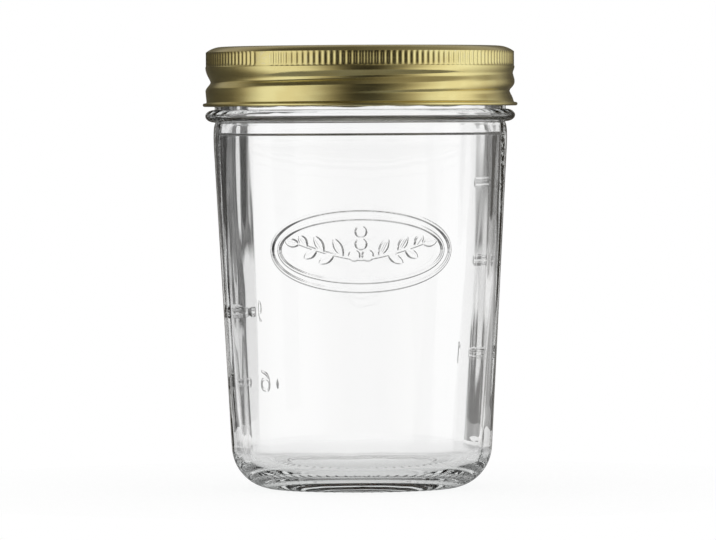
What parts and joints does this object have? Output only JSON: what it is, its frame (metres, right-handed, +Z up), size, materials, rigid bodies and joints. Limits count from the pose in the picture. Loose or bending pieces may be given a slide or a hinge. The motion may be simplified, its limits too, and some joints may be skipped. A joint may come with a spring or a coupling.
{
  "type": "preserving jar",
  "caption": "Wide-mouth glass preserving jar with straight, slightly tapered sides, closed by a flat lid disc and a knurled screw band.",
  "frame": {"origin": "middle of the foot, on the surface that the jar stands on", "axes": "+Z up along the jar's axis, -Y towards the front of the picture, +X to its right"},
  "size_m": [0.0904, 0.0904, 0.127],
  "materials": {
    "clear_glass": "clear, pressed, fire-polished",
    "lid_tinplate": "gold-lacquered tinplate, glossy",
    "sealing_compound": "matt, slightly rubbery",
    "band_tinplate": "gold-lacquered tinplate, glossy"
  },
  "bodies": {
    "jar": {"glass_jar": "clear_glass"},
    "lid": {"lid_disc": "lid_tinplate", "sealing_ring": "sealing_compound"},
    "band": {"screw_band": "band_tinplate"}
  },
  "joints": [
    {"name": "lid_lift", "type": "slide", "parent": "jar", "child": "lid", "axis": [0, 0, 1], "range_m": [0, 0.02032]},
    {"name": "band_turn", "type": "hinge", "parent": "lid", "child": "band", "pos_m": [0, 0, 0.1184], "axis": [0, 0, 1], "range_deg": [0, 1440]}
  ],
  "couplings": [
    {"joint": "lid_lift", "follows": "band_turn", "m_per_rad": 0.00080851}
  ]
}
